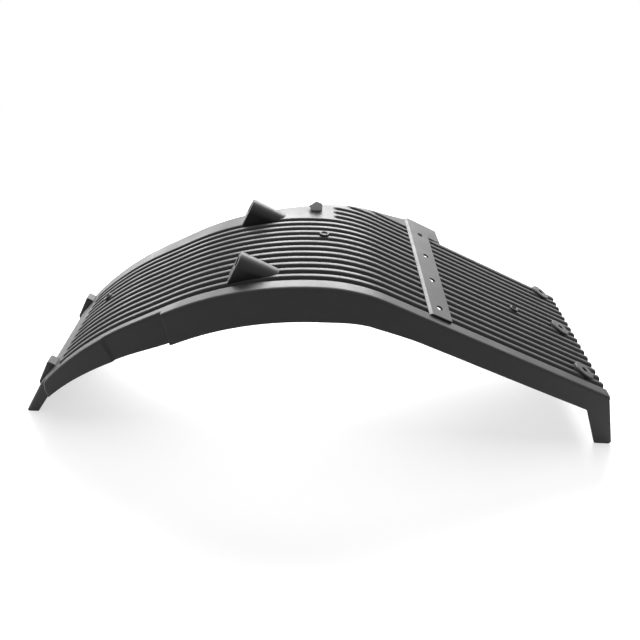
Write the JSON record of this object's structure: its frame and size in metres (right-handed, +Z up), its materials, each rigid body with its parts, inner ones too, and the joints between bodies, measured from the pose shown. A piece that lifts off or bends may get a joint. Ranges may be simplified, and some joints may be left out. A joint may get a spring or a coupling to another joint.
{
  "type": "wheel arch liner",
  "caption": "Curved, ribbed plastic wheel arch liner with side skirts, legs, a raised stay plate, bolt pads and slanted mounting bosses.",
  "frame": {"origin": "middle of the footprint, on the floor that the foot edge and the two legs stand on", "axes": "+X along the liner from the foot to the legs, +Y across it to the flared side, +Z up"},
  "size_m": [1.22, 0.44, 0.3751],
  "materials": {
    "plastic": "charcoal moulded plastic with a fine satin grain"
  },
  "bodies": {
    "root": {"arch_liner": "plastic"}
  },
  "joints": []
}
